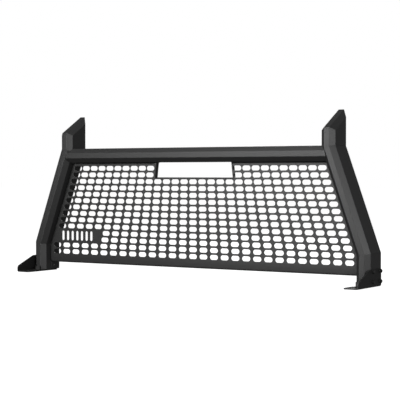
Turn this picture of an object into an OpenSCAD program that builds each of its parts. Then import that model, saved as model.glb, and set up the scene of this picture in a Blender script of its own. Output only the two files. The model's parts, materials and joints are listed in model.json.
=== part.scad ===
// Headache rack: two cranked octagonal uprights, a coped crossbar, a slotted panel with a
// brake light window, and bent feet that stand on the bed rails.
// X runs across the truck, Y towards the cab, Z up. The origin is at the middle of the
// footprint, on the face that rests on the rails.

/* [Overall] */
// Width across the outer faces of the two legs
foot_span = 1711; // [1500:1:2060]
// Width across the outer faces of the two horns
horn_span = 1399; // [1150:1:1450]
// Overall height, to the top of the horn tips
rack_h = 712; // [660:1:860]
// Height of the lower knee, at the outer corner
lower_knee_h = 134; // [105:1:170]
// Height of the upper knee and of the top of the crossbar
upper_knee_h = 563; // [465:1:600]

/* [Tube] */
// Width of the octagonal tube, across the truck
tube_w = 63.5; // [50:0.5:78]
// Depth of the octagonal tube, along the truck
tube_d = 133.5; // [110:0.5:162]
// Size of the four corner chamfers
tube_c = 19.5; // [12:0.5:24]
// Wall of the tube
tube_t = 3; // [2:0.1:4]
// Slope of the horn tips
tip_slope = 30; // [15:1:35]
// Thickness of the horn tip covers
tip_t = 3; // [2:0.1:5]

/* [Panel] */
// Thickness of the panel sheet
panel_t = 4; // [2:0.1:5]
// Setback of the panel behind the front of the tubes
panel_set = 46.5; // [30:0.5:56]
// Depth of the panel's side flanges
side_flange = 40; // [25:1:48]
// Depth of the panel's top flange
top_flange = 40; // [25:1:48]
// Depth of the flanges along the lower edge and round the window
edge_flange = 22; // [12:1:30]
// Height of the panel's lower edge
panel_bottom = 41; // [30:1:49]

/* [Slots] */
// Length of a slot
slot_l = 41; // [30:0.1:50]
// Height of a slot
slot_h = 21.2; // [14:0.1:25.5]
// Distance between rows of slots
row_pitch = 29.4; // [24.5:0.1:36]
// Least web between two slots, which the top row comes near
slot_web = 3.5; // [3:0.1:8]
// Least land between the top row of slots and the crossbar
top_land = 10; // [8:0.5:15]
// Height of the lowest row's middle
first_row_h = 91.4; // [75:0.1:110]
// Plain border between the last slot and the upright, at the lowest row
slot_border = 23; // [14:0.5:26]

/* [Window] */
// Slots left out to each side of the middle for the brake light window
window_half = 4; // [2:1:6]
// Rows of slots left out for the window
window_rows = 2; // [1:1:3]

/* [Vent bars] */
// Number of upright bars cut in the plain field
bar_count = 7; // [4:1:7]
// Width of a bar
bar_w = 14; // [8:0.5:16]
// Height of a bar
bar_h = 44; // [30:1:46]
// Distance between bars
bar_pitch = 27; // [22:0.5:28]
// Slots left out at the end of each of the two rows for the bars
bar_slots = 5; // [5:1:6]

/* [Brackets] */
// Thickness of the bracket plate
plate_t = 5; // [4:0.5:7]
// Reach of the bracket in front of the tubes
bracket_reach = 106; // [96:1:130]
// Length of the bracket beside the tube
bracket_back = 105; // [95:1:112]
// Height of the bracket
bracket_h = 71; // [66:1:92]
// Height of the bracket's front edge
bracket_nose_h = 27; // [22:1:34]
// Width of the flange under the leg
flange_w = 66; // [56:1:74]
// Gap between the flange and the end of the leg, filled by the foot cap's lip
leg_gap = 2; // [1.5:0.1:4]
// Diameter of the bracket bolts
bolt_d = 8; // [6:1:10]
// Clearance of bolts, nuts and plugs in their holes, in diameter
hole_gap = 1; // [0.5:0.1:1.5]
// Across the flats of the bracket bolt heads
bolt_af = 13; // [10:0.5:15]
// Height of the bracket bolt heads
bolt_head_h = 5.5; // [4:0.5:8]
// Outer diameter of the bracket washers
washer_d = 17; // [14:0.5:20]
// Thickness of the bracket washers
washer_t = 1.6; // [1:0.1:2.5]
// Thickness of the nut plate inside the leg
nut_plate_t = 6; // [5:0.5:10]
// Across the flats of the tall nut on the flange
rail_nut_af = 19; // [18:0.5:24]
// Height of the tall nut on the flange
rail_nut_h = 18; // [12:0.5:24]
// Bore of the tall nut
rail_nut_bore = 10.5; // [8:0.1:13]
// Diameter of the rail bolt holes in the flange
rail_hole_d = 13; // [9:0.5:14]
// Distance of the rail bolt holes from the flange's inner edge
rail_hole_edge = 21.25; // [16:0.25:26]
// Distance of the first rail bolt hole from the flange's front edge
rail_hole_front = 25; // [18:1:30]
// Distance between the two rail bolt holes
rail_hole_pitch = 40; // [30:1:48]

/* [Panel screws] */
// Diameter of the panel screws
screw_d = 6; // [5:0.5:8]
// Diameter of the panel screw heads
screw_head_d = 12; // [10:0.5:14]
// Height of the panel screw heads
screw_head_h = 3.3; // [2.5:0.1:5]
// Outer diameter of the rivet nuts
rivet_d = 9; // [8:0.5:11]
// Length of the rivet nuts
rivet_l = 14; // [11:0.5:18]
// Diameter of the bulge that holds a rivet nut behind the wall
rivet_bulge_d = 12; // [11:0.5:14]
// Screws along the raked part of each side
rake_screws = 4; // [3:1:6]
// Screws on each side of the window, along the crossbar
top_screws = 3; // [2:1:4]

/* [Hidden] */

// Depths, measured from the middle of the footprint
footprint_d = bracket_reach + tube_d;
front_y = bracket_reach - footprint_d / 2;
back_y = front_y + tube_d;
panel_y = front_y + panel_set;

// Outer half widths and knees
foot_x = foot_span / 2;
horn_x = horn_span / 2;
rake = atan((foot_x - horn_x) / (upper_knee_h - lower_knee_h));
knee_drop = tube_w * tan(rake / 2);
leg_bottom = plate_t + leg_gap;
crossbar_bottom = upper_knee_h - tube_w;
cope_land = 0.3;
long = 3 * rack_h;
skin = 1;

// Inner faces of the uprights
leg_in_x = foot_x - tube_w;
inner_knee_h = lower_knee_h - knee_drop;
function rake_in_x(z) = foot_x - (z - lower_knee_h) * tan(rake) - tube_w / cos(rake);
function inner_x(z) = z < inner_knee_h ? leg_in_x : rake_in_x(z);

// Slot grid: as many rows as the height takes, and as many slots as the top row takes;
// the pitch of each row follows the panel's width there
function row_h(r) = first_row_h + r * row_pitch;
function last_slot_x(r) = inner_x(row_h(r)) * (1 - slot_border / leg_in_x) - slot_l / 2;
function column_pitch(r) = last_slot_x(r) / side_slots;
rows = floor((crossbar_bottom - top_land - slot_h / 2 - first_row_h) / row_pitch) + 1;
side_slots = floor(last_slot_x(rows - 1) / (slot_l + slot_web));
window_row = rows - window_rows;
window_land = 6.5;
window_bottom = row_h(window_row - 1) + row_pitch / 2 + panel_t;

// The vent bars take two rows, from the first one above the lower knee
bar_row = max(0, floor((inner_knee_h - first_row_h) / row_pitch) + 1);

// Foot cap
cap_plug_h = 5;
cap_wall = 2;

// Bracket details
bend_in_r = 3;
nose_r = 14;
brow_r = 8;
rear_r = 4;
flange_r = 10;
bracket_x = foot_x + plate_t;
nose_y = front_y - bracket_reach;
rear_y = front_y + bracket_back;
bolt_edge = bolt_d + 2;
bolt_drop = 9;
bolt_end = 2;
bolt_ys = [front_y + tube_c + bolt_edge, rear_y - bolt_edge];
bolt_zs = [leg_bottom + cap_plug_h + bolt_d + skin, bracket_h - bolt_drop];
rail_nut_gap = 5;
rail_nut_y = front_y - rail_nut_af / 2 - rail_nut_gap;
rail_bolt_x = bracket_x - flange_w + rail_hole_edge;
rail_hole_ys = [nose_y + rail_hole_front, nose_y + rail_hole_front + rail_hole_pitch];

// Panel screw places: behind the face, and in from the ends of each flange
screw_setback = 18;
rake_screw_ends = [40, 45];
tab_screw_h = 16;
leg_screw_drop = 32;
top_screw_ends = [25, 50];
screw_end = 2;
rivet_bulge_h = 4;
screw_set_y = panel_y + panel_t + screw_setback;
rake_screw_from = inner_knee_h + rake_screw_ends[0];
rake_screw_to = crossbar_bottom - rake_screw_ends[1];
rake_screw_zs = [for (i = [0:rake_screws - 1])
  rake_screw_from + i * (rake_screw_to - rake_screw_from) / (rake_screws - 1)];
leg_screw_zs = [leg_bottom + tab_screw_h, inner_knee_h - leg_screw_drop];
top_screw_from = (window_half + 1) * column_pitch(rows - 1) + top_screw_ends[0];
top_screw_to = rake_in_x(crossbar_bottom) - top_screw_ends[1];
top_screw_xs = [for (i = [0:top_screws - 1])
  top_screw_from + i * (top_screw_to - top_screw_from) / (top_screws - 1)];

steel_black = [0.13, 0.13, 0.14];
powder_black = [0.24, 0.24, 0.25];
zinc = [0.62, 0.62, 0.6];
rubber_black = [0.08, 0.08, 0.08];

// ---- Shapes ----

// Octagon across X and Y, its front flat on Y = inset, shrunk all round by the inset
module section(inset = 0) {
  w = tube_w / 2 - inset;
  d = tube_d - inset;
  c = tube_c - inset * (2 - sqrt(2));
  polygon([[c - w, inset], [w - c, inset], [w, inset + c], [w, d - c],
    [w - c, d], [c - w, d], [-w, d - c], [-w, inset + c]]);
}

// Fillets the corners of an outline given as [x, y, radius]
function unit(v) = v / norm(v);
function corner(p, a, b, r, n = 8) =
  let(u = unit(a - p), v = unit(b - p), half = acos(u * v) / 2,
    centre = p + unit(u + v) * r / sin(half),
    from = p + u * r / tan(half) - centre,
    turn = cross(u, v) > 0 ? half * 2 - 180 : 180 - half * 2)
  [for (i = [0:n]) let(t = i * turn / n)
    centre + [from.x * cos(t) - from.y * sin(t), from.x * sin(t) + from.y * cos(t)]];
function rounded(pts) = [for (i = [0:len(pts) - 1])
  let(p = pts[i], a = pts[(i + len(pts) - 1) % len(pts)], b = pts[(i + 1) % len(pts)])
  each p[2] > 0 ? corner([p.x, p.y], [a.x, a.y], [b.x, b.y], p[2]) : [[p.x, p.y]]];

// Extrudes an outline drawn in X and Z backwards from a depth
module slab_xz(y, d) translate([0, y + d, 0]) rotate([90, 0, 0]) linear_extrude(d) children();

// Extrudes an outline drawn in Y and Z across X
module slab_yz(x, w) translate([x, 0, 0]) rotate([90, 0, 90]) linear_extrude(w) children();

// The left side is the mirror image of the right
module side(s) mirror([s < 0 ? 1 : 0, 0, 0]) children();

module hex(af, h) cylinder(d = af / cos(30), h = h, $fn = 6);
module round_bar(d, h) cylinder(d = d, h = h, $fn = 32);

// Points along X, outwards from the leg
module outwards() rotate([0, 90, 0]) children();

// ---- Uprights ----

module leg_outline() polygon([[foot_x - tube_w, leg_bottom], [foot_x, leg_bottom],
  [foot_x, lower_knee_h], [foot_x - tube_w, inner_knee_h]]);
module rake_outline() polygon([[foot_x - tube_w, inner_knee_h], [foot_x, lower_knee_h],
  [horn_x, upper_knee_h], [horn_x - tube_w, upper_knee_h - knee_drop]]);
module horn_outline() polygon([[horn_x - tube_w, upper_knee_h - knee_drop],
  [horn_x, upper_knee_h], [horn_x, rack_h + skin], [horn_x - tube_w, rack_h + skin]]);

// Keeps what lies inside an outline, so that neighbouring lengths meet on the mitre
module mitred() intersection() {
  children(0);
  slab_xz(front_y - skin, tube_d + 2 * skin) children(1);
}

module upright_bar(x, inset) translate([x - tube_w / 2, front_y, 0])
  linear_extrude(long, center = true) section(inset);
module rake_bar(inset) translate([foot_x, front_y, lower_knee_h]) rotate([0, -rake, 0])
  translate([-tube_w / 2, 0, 0]) linear_extrude(long, center = true) section(inset);

module leg_solid(inset = 0) mitred() { upright_bar(foot_x, inset); leg_outline(); }
module rake_solid(inset = 0) mitred() { rake_bar(inset); rake_outline(); }
module horn_solid(inset = 0) mitred() { upright_bar(horn_x, inset); horn_outline(); }

// The space under the horn's roof, sunk by a distance square to the roof
module under_roof(sink) {
  translate([horn_x - tube_w / 2, front_y + tube_d, rack_h]) rotate([tip_slope, 0, 0])
    translate([0, long / 2, -sink]) rotate([90, 0, 0]) linear_extrude(long)
      polygon([[tube_c - tube_w / 2, 0], [tube_w / 2 - tube_c, 0], [tube_w / 2 + skin, -tube_c - skin],
        [tube_w / 2 + skin, -long], [-tube_w / 2 - skin, -long], [-tube_w / 2 - skin, -tube_c - skin]]);
}

module leg_tube(s) side(s) color(powder_black) difference() {
  leg_solid();
  leg_solid(tube_t);
  for (y = bolt_ys, z = bolt_zs) translate([foot_x - tube_t - skin, y, z])
    outwards() round_bar(bolt_d + hole_gap, tube_t + 2 * skin);
  for (z = leg_screw_zs) translate([leg_in_x - skin, screw_set_y, z])
    outwards() round_bar(rivet_d, tube_t + 2 * skin);
}

module raked_tube(s) side(s) color(powder_black) difference() {
  rake_solid();
  rake_solid(tube_t);
  for (z = rake_screw_zs) on_rake(z) translate([-skin, 0, 0])
    outwards() round_bar(rivet_d, tube_t + 2 * skin);
}

module horn_tube(s) side(s) color(powder_black) intersection() {
  difference() {
    horn_solid();
    horn_solid(tube_t);
  }
  under_roof(tip_t);
}

module tip_cover(s) side(s) color(powder_black) difference() {
  intersection() {
    horn_solid();
    under_roof(0);
  }
  under_roof(tip_t);
}

// A plug with a lip that keeps the end of the leg off the flange
module foot_cap(s) side(s) color(rubber_black) difference() {
  union() {
    translate([foot_x - tube_w / 2, front_y, plate_t]) linear_extrude(leg_gap) section(bend_in_r);
    translate([foot_x - tube_w / 2, front_y, plate_t])
      linear_extrude(leg_gap + cap_plug_h) section(tube_t + hole_gap / 2);
  }
  translate([foot_x - tube_w / 2, front_y, plate_t + leg_gap])
    linear_extrude(long) section(tube_t + hole_gap / 2 + cap_wall);
}

// ---- Crossbar ----

module crossbar_bar(inset) translate([-horn_x, front_y, upper_knee_h - tube_w / 2])
  rotate([0, 90, 0]) linear_extrude(2 * horn_x) section(inset);

// The bar's end runs over the uprights' front chamfers, up to the edge of their front flats
module crossbar_outline() {
  cope = tube_c - cope_land;
  top_x = horn_x - tube_w + cope;
  knee_z = upper_knee_h - knee_drop * (1 - cope / tube_w);
  bottom_x = rake_in_x(crossbar_bottom) + cope / cos(rake);
  polygon([[-top_x, upper_knee_h + skin], [top_x, upper_knee_h + skin], [top_x, knee_z],
    [bottom_x + skin * tan(rake), crossbar_bottom - skin],
    [-bottom_x - skin * tan(rake), crossbar_bottom - skin], [-top_x, knee_z]]);
}

module crossbar_tube() color(powder_black) difference() {
  intersection() {
    crossbar_bar(0);
    slab_xz(front_y - skin, tube_d + 2 * skin) crossbar_outline();
  }
  crossbar_bar(tube_t);
  for (s = [-1, 1]) side(s) {
    rake_solid();
    horn_solid();
  }
  for (s = [-1, 1], x = top_screw_xs) translate([s * x, screw_set_y, crossbar_bottom - skin])
    round_bar(rivet_d, tube_t + 2 * skin);
}

// ---- Panel ----

module slot(l, h) {
  square([l - h, h], center = true);
  for (e = [-1, 1]) translate([e * (l - h) / 2, 0]) circle(d = h, $fn = 48);
}

function window_x(z) = (window_half + 0.5)
  * (column_pitch(rows - 1) + (row_h(rows - 1) - z) / row_pitch
    * (column_pitch(rows - 2) - column_pitch(rows - 1))) - window_land;

// Outline of the panel's face; the inset leaves out a band at the sides
module face_outline(inset = 0) polygon([
  [inset - leg_in_x, panel_bottom], [leg_in_x - inset, panel_bottom],
  [leg_in_x - inset, inner_knee_h - inset * tan(rake / 2)],
  [rake_in_x(crossbar_bottom) - inset / cos(rake), crossbar_bottom],
  [inset / cos(rake) - rake_in_x(crossbar_bottom), crossbar_bottom],
  [inset - leg_in_x, inner_knee_h - inset * tan(rake / 2)]]);

module window_outline(grow = 0) polygon([
  [-window_x(window_bottom) - grow, window_bottom - grow],
  [window_x(window_bottom) + grow, window_bottom - grow],
  [window_x(crossbar_bottom) + grow, crossbar_bottom + skin],
  [-window_x(crossbar_bottom) - grow, crossbar_bottom + skin]]);

module slot_grid() for (r = [0:rows - 1], c = [-side_slots:side_slots]) {
  in_window = r >= window_row && abs(c) <= window_half;
  in_bars = r >= bar_row && r < bar_row + 2 && c < bar_slots - side_slots;
  if (!in_window && !in_bars)
    translate([c * column_pitch(r), row_h(r)]) slot(slot_l, slot_h);
}

module vent_bars() {
  field_x = -(side_slots - (bar_slots - 1) / 2) * column_pitch(bar_row);
  for (i = [0:bar_count - 1])
    translate([field_x + (i - (bar_count - 1) / 2) * bar_pitch, row_h(bar_row + 0.5)])
      rotate(90) slot(bar_h, bar_w);
}

// One side flange, which runs on below the face as a tab beside the leg
module side_flange_outline() polygon([
  [leg_in_x - panel_t, leg_bottom], [leg_in_x, leg_bottom], [leg_in_x, inner_knee_h],
  [rake_in_x(crossbar_bottom), crossbar_bottom],
  [rake_in_x(crossbar_bottom) - panel_t / cos(rake), crossbar_bottom],
  [leg_in_x - panel_t, inner_knee_h - panel_t * tan(rake / 2)]]);

module slotted_panel() color(powder_black) difference() {
  union() {
    slab_xz(panel_y, panel_t) difference() {
      face_outline();
      window_outline();
      slot_grid();
      vent_bars();
    }
    for (s = [-1, 1]) side(s) slab_xz(panel_y, side_flange) side_flange_outline();
    slab_xz(panel_y, edge_flange) intersection() {
      face_outline();
      translate([-foot_x, panel_bottom]) square([foot_span, panel_t]);
    }
    slab_xz(panel_y, edge_flange) intersection() {
      face_outline();
      difference() {
        window_outline(panel_t);
        window_outline();
      }
    }
    slab_xz(panel_y, top_flange) intersection() {
      face_outline();
      difference() {
        translate([-foot_x, crossbar_bottom - panel_t]) square([foot_span, panel_t]);
        window_outline();
      }
    }
  }
  for (s = [-1, 1]) side(s) {
    for (z = rake_screw_zs) on_rake(z) translate([-panel_t - skin, 0, 0])
      outwards() round_bar(screw_d + hole_gap, panel_t + 2 * skin);
    for (z = leg_screw_zs) translate([leg_in_x - panel_t - skin, screw_set_y, z])
      outwards() round_bar(screw_d + hole_gap, panel_t + 2 * skin);
    for (x = top_screw_xs) translate([x, screw_set_y, crossbar_bottom - panel_t - skin])
      round_bar(screw_d + hole_gap, panel_t + 2 * skin);
  }
}

// Stands children on the raked tube's inner face, with X square into the tube
module on_rake(z) translate([rake_in_x(z), screw_set_y, z]) rotate([0, -rake, 0]) children();

// A button head screw that passes through the sheet below Z = 0 and on into its rivet nut
module panel_screw() {
  translate([0, 0, -panel_t - screw_head_h]) round_bar(screw_head_d, screw_head_h);
  translate([0, 0, -panel_t - skin]) round_bar(screw_d, panel_t + skin + rivet_l + screw_end);
}

module rivet_nut() difference() {
  union() {
    round_bar(rivet_d, rivet_l);
    translate([0, 0, tube_t]) round_bar(rivet_bulge_d, rivet_bulge_h);
  }
  translate([0, 0, -skin]) round_bar(screw_d, rivet_l + 2 * skin);
}

// Children at each screw of one side, pointing into the wall
module at_side_screws() {
  for (z = rake_screw_zs) on_rake(z) outwards() children();
  for (z = leg_screw_zs) translate([leg_in_x, screw_set_y, z]) outwards() children();
}
module at_top_screws() for (s = [-1, 1], x = top_screw_xs)
  translate([s * x, screw_set_y, crossbar_bottom]) children();

module side_panel_screws(s) side(s) color(zinc) at_side_screws() panel_screw();
module side_rivet_nuts(s) side(s) color(zinc) at_side_screws() rivet_nut();
module top_panel_screws() color(zinc) at_top_screws() panel_screw();
module top_rivet_nuts() color(zinc) at_top_screws() rivet_nut();

// ---- Brackets ----

// The bent plate seen from the front
module bend_outline() polygon(rounded([
  [bracket_x - flange_w, 0, 0], [bracket_x, 0, bend_in_r + plate_t], [bracket_x, bracket_h + skin, 0],
  [foot_x, bracket_h + skin, 0], [foot_x, plate_t, bend_in_r], [bracket_x - flange_w, plate_t, 0]]));

// The plate seen from the side
module cheek_outline() polygon(rounded([
  [nose_y, -skin, 0], [rear_y, -skin, 0], [rear_y, bracket_h, rear_r],
  [front_y + rear_r, bracket_h, brow_r], [nose_y, bracket_nose_h, nose_r]]));

// The flange seen from above
module flange_plan() polygon(rounded([
  [bracket_x - flange_w, nose_y, flange_r], [bracket_x + skin, nose_y, 0],
  [bracket_x + skin, rear_y, 0], [bracket_x - flange_w, rear_y, flange_r]]));

module bracket(s) side(s) color(steel_black) difference() {
  intersection() {
    slab_xz(nose_y, rear_y - nose_y) bend_outline();
    slab_yz(foot_x - long / 2, long) cheek_outline();
    translate([0, 0, -skin]) linear_extrude(long) flange_plan();
  }
  for (y = bolt_ys, z = bolt_zs) translate([foot_x - skin, y, z])
    outwards() round_bar(bolt_d + hole_gap, plate_t + 2 * skin);
  for (y = rail_hole_ys) translate([rail_bolt_x, y, -skin]) round_bar(rail_hole_d, plate_t + 2 * skin);
  translate([rail_bolt_x, rail_nut_y, -skin]) round_bar(rail_hole_d, plate_t + 2 * skin);
}

module at_bracket_bolts() for (y = bolt_ys, z = bolt_zs) translate([bracket_x, y, z]) outwards() children();

module bracket_bolts(s) side(s) color(steel_black) at_bracket_bolts() {
  translate([0, 0, washer_t]) hex(bolt_af, bolt_head_h);
  translate([0, 0, -plate_t - tube_t - nut_plate_t - bolt_end])
    round_bar(bolt_d, plate_t + tube_t + nut_plate_t + bolt_end + washer_t + skin);
}

module bracket_washers(s) side(s) color(steel_black) at_bracket_bolts() difference() {
  round_bar(washer_d, washer_t);
  translate([0, 0, -skin]) round_bar(bolt_d + hole_gap / 2, washer_t + 2 * skin);
}

// A flat bar with threaded holes that lies on the inside of the leg's outer wall
module nut_plate(s) side(s) color(zinc) difference() {
  translate([foot_x - tube_t - nut_plate_t, bolt_ys[0] - bolt_d, bolt_zs[0] - bolt_d])
    cube([nut_plate_t, bolt_ys[1] - bolt_ys[0] + 2 * bolt_d, bolt_zs[1] - bolt_zs[0] + 2 * bolt_d]);
  for (y = bolt_ys, z = bolt_zs) translate([foot_x - tube_t - nut_plate_t - skin, y, z])
    outwards() round_bar(bolt_d, nut_plate_t + 2 * skin);
}

module rail_nut(s) side(s) color(steel_black) translate([rail_bolt_x, rail_nut_y, plate_t]) difference() {
  hex(rail_nut_af, rail_nut_h);
  translate([0, 0, -skin]) round_bar(rail_nut_bore, rail_nut_h + 2 * skin);
}

leg_tube(-1);  // left_leg_tube
leg_tube(1);  // right_leg_tube
raked_tube(-1);  // left_raked_tube
raked_tube(1);  // right_raked_tube
horn_tube(-1);  // left_horn_tube
horn_tube(1);  // right_horn_tube
tip_cover(-1);  // left_tip_cover
tip_cover(1);  // right_tip_cover
foot_cap(-1);  // left_foot_cap
foot_cap(1);  // right_foot_cap
crossbar_tube();
slotted_panel();
bracket(-1);  // left_bracket
bracket(1);  // right_bracket
bracket_bolts(-1);  // left_bracket_bolts
bracket_bolts(1);  // right_bracket_bolts
bracket_washers(-1);  // left_bracket_washers
bracket_washers(1);  // right_bracket_washers
nut_plate(-1);  // left_nut_plate
nut_plate(1);  // right_nut_plate
rail_nut(-1);  // left_rail_nut
rail_nut(1);  // right_rail_nut
side_panel_screws(-1);  // left_panel_screws
side_panel_screws(1);  // right_panel_screws
top_panel_screws();
side_rivet_nuts(-1);  // left_rivet_nuts
side_rivet_nuts(1);  // right_rivet_nuts
top_rivet_nuts();
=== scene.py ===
"""Looks of a pickup headache rack, built piece by piece around its packed frame."""

import json
import math

import bpy
from bpy.props import FloatProperty, FloatVectorProperty, IntProperty, PointerProperty
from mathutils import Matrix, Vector


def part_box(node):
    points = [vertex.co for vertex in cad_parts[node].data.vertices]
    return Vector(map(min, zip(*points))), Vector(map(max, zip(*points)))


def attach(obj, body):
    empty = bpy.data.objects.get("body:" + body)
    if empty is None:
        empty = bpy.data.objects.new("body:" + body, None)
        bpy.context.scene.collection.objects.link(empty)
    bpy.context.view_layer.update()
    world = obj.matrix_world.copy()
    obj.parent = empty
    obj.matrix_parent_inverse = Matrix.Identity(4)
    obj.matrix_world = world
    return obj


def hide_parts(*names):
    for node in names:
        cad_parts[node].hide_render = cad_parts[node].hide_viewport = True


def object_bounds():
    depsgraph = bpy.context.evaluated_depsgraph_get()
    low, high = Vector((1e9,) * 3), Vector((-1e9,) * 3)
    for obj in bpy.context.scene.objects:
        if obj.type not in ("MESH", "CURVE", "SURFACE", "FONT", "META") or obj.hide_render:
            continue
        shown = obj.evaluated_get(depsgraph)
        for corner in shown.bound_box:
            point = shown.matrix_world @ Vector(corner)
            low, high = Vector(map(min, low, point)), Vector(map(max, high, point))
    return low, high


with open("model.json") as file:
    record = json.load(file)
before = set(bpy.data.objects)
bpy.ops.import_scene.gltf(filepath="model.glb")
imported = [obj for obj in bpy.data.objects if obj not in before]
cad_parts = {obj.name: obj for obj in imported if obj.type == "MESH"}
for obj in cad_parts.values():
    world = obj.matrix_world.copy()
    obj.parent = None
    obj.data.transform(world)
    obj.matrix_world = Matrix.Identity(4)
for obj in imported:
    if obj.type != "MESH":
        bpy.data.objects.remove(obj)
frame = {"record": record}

bl_info = {
    "name": "Headache Rack Maker",
    "version": (1, 0, 0),
    "blender": (4, 5, 0),
    "location": "View3D > Sidebar > Rack",
    "description": "Makes the finished tubes, panel, brackets and fasteners of a pickup headache rack",
    "category": "Add Mesh",
}

CAD_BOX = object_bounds()
MM = 0.001
HAIR = 1e-5


# ---- The frame's own sizes, in metres ----

LEG_LOW, LEG_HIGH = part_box("right_leg_tube")
RAKE_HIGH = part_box("right_raked_tube")[1]
HORN_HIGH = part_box("right_horn_tube")[1]
TIP_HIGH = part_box("right_tip_cover")[1]
BAR_LOW, BAR_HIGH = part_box("crossbar_tube")
SHEET_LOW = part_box("slotted_panel")[0]
BRACKET_LOW, BRACKET_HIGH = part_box("right_bracket")
CAP_LOW, CAP_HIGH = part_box("right_foot_cap")
PLATE_LOW, PLATE_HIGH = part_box("right_nut_plate")
WASHER_LOW, WASHER_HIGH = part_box("right_bracket_washers")
BOLT_LOW, BOLT_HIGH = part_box("right_bracket_bolts")
NUT_LOW, NUT_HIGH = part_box("right_rail_nut")
MOUNTS = {mount["name"]: mount for mount in frame["record"]["mounts"]}

TUBE_W = LEG_HIGH.x - LEG_LOW.x
FRONT, BACK = LEG_LOW.y, LEG_HIGH.y
FOOT_X, HORN_X = LEG_HIGH.x, HORN_HIGH.x
KNEE_Z, SHOULDER_Z = LEG_HIGH.z, RAKE_HIGH.z
RAKE = math.atan((FOOT_X - HORN_X) / (SHOULDER_Z - KNEE_Z))
KNEE_DROP = TUBE_W * math.tan(RAKE / 2)
UNDER_BAR = BAR_LOW.z
IN_KNEE_Z = KNEE_Z - KNEE_DROP
LEG_IN_X = FOOT_X - TUBE_W
# From the bracket's outer face to just behind the nut plate
BOLT_DEPTH = WASHER_LOW.x - PLATE_LOW.x + MM


def rake_in_x(z):
    """Inner face of the raked tube at a height."""
    return FOOT_X - (z - KNEE_Z) * math.tan(RAKE) - TUBE_W / math.cos(RAKE)


def inner_x(z):
    """Inner face of the upright at a height."""
    return LEG_IN_X if z < IN_KNEE_Z else rake_in_x(z)


# ---- Sizes and colours a user may change ----


class RackTubeSizes(bpy.types.PropertyGroup):
    """Sizes of the octagonal tubes."""

    chamfer: FloatProperty(name="Chamfer", description="Leg of the tube's corner chamfers",
                           default=0.0195, min=0.01, max=0.03, unit="LENGTH")
    wall: FloatProperty(name="Wall", description="Wall of the tube", default=0.003,
                        min=0.002, max=0.005, unit="LENGTH")
    corner: FloatProperty(name="Corner Radius", description="Outer radius along the tube's edges",
                          default=0.0042, min=0.0032, max=0.01, unit="LENGTH")
    seam: FloatProperty(name="Seam", description="Rounding of a welded and dressed tube end",
                        default=0.0007, min=0.0001, max=0.002, unit="LENGTH")
    tip_slope: FloatProperty(name="Tip Slope", description="Slope of the horn tips",
                             default=math.radians(30), min=0.2, max=0.7, subtype="ANGLE")
    tip_plate: FloatProperty(name="Tip Plate", description="Thickness of the tip covers",
                             default=0.003, min=0.002, max=0.005, unit="LENGTH")
    tip_round: FloatProperty(name="Tip Rounding", description="Rounding of the tip covers' edges",
                             default=0.0011, min=0.0002, max=0.0014, unit="LENGTH")


class RackPanelSizes(bpy.types.PropertyGroup):
    """Sizes of the slotted sheet."""

    sheet: FloatProperty(name="Sheet", description="Thickness of the sheet", default=0.004,
                         min=0.002, max=0.005, unit="LENGTH")
    bend: FloatProperty(name="Bend Radius", description="Outer radius of the sheet's bends",
                        default=0.0065, min=0.0045, max=0.01, unit="LENGTH")
    rim: FloatProperty(name="Rim Rounding", description="Rounding of the sheet's cut edges",
                       default=0.0007, min=0.0002, max=0.0015, unit="LENGTH")
    side_flange: FloatProperty(name="Side Flange", description="Depth of the side and top flanges",
                               default=0.040, min=0.02, max=0.05, unit="LENGTH")
    edge_flange: FloatProperty(name="Edge Flange", description="Depth of the lower and window flanges",
                               default=0.022, min=0.01, max=0.04, unit="LENGTH")
    lower_edge: FloatProperty(name="Lower Edge", description="Height of the face's lower edge",
                              default=0.041, min=0.02, max=0.06, unit="LENGTH")
    slot_length: FloatProperty(name="Slot Length", description="Length of a slot", default=0.041,
                               min=0.03, max=0.045, unit="LENGTH")
    slot_height: FloatProperty(name="Slot Height", description="Height of a slot", default=0.0212,
                               min=0.015, max=0.025, unit="LENGTH")
    row_pitch: FloatProperty(name="Row Pitch", description="Distance between rows of slots",
                             default=0.0294, min=0.026, max=0.04, unit="LENGTH")
    first_row: FloatProperty(name="First Row", description="Height of the lowest row of slots",
                             default=0.0914, min=0.07, max=0.12, unit="LENGTH")
    border: FloatProperty(name="Border", description="Plain border beside the lowest row",
                          default=0.023, min=0.01, max=0.04, unit="LENGTH")
    rows: IntProperty(name="Rows", description="Rows of slots", default=14, min=4, max=14)
    side_slots: IntProperty(name="Side Slots", description="Slots to each side of the middle one",
                            default=14, min=7, max=14)
    window_half: IntProperty(name="Window Slots", default=4, min=2, max=6,
                             description="Slots left out to each side for the window")
    window_rows: IntProperty(name="Window Rows", description="Rows left out for the window",
                             default=2, min=1, max=3)
    window_land: FloatProperty(name="Window Land", default=0.0065, min=0.004, max=0.01, unit="LENGTH",
                               description="Land between the window and the next slot line")
    relief: FloatProperty(name="Corner Relief", description="Cut at the face's corners by the bends",
                          default=0.003, min=0.001, max=0.006, unit="LENGTH")
    bars: IntProperty(name="Vent Bars", description="Upright bars in the plain field", default=7,
                      min=3, max=7)
    bar_width: FloatProperty(name="Bar Width", description="Width of a vent bar", default=0.014,
                             min=0.008, max=0.02, unit="LENGTH")
    bar_height: FloatProperty(name="Bar Height", description="Height of a vent bar", default=0.044,
                              min=0.03, max=0.05, unit="LENGTH")
    bar_pitch: FloatProperty(name="Bar Pitch", description="Distance between vent bars",
                             default=0.027, min=0.02, max=0.03, unit="LENGTH")
    bar_slots: IntProperty(name="Bar Slots", description="Slots left out of two rows for the bars",
                           default=5, min=4, max=7)
    bar_row: IntProperty(name="Bar Row", description="Rows of slots below the vent bars",
                         default=2, min=1, max=8)


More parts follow.
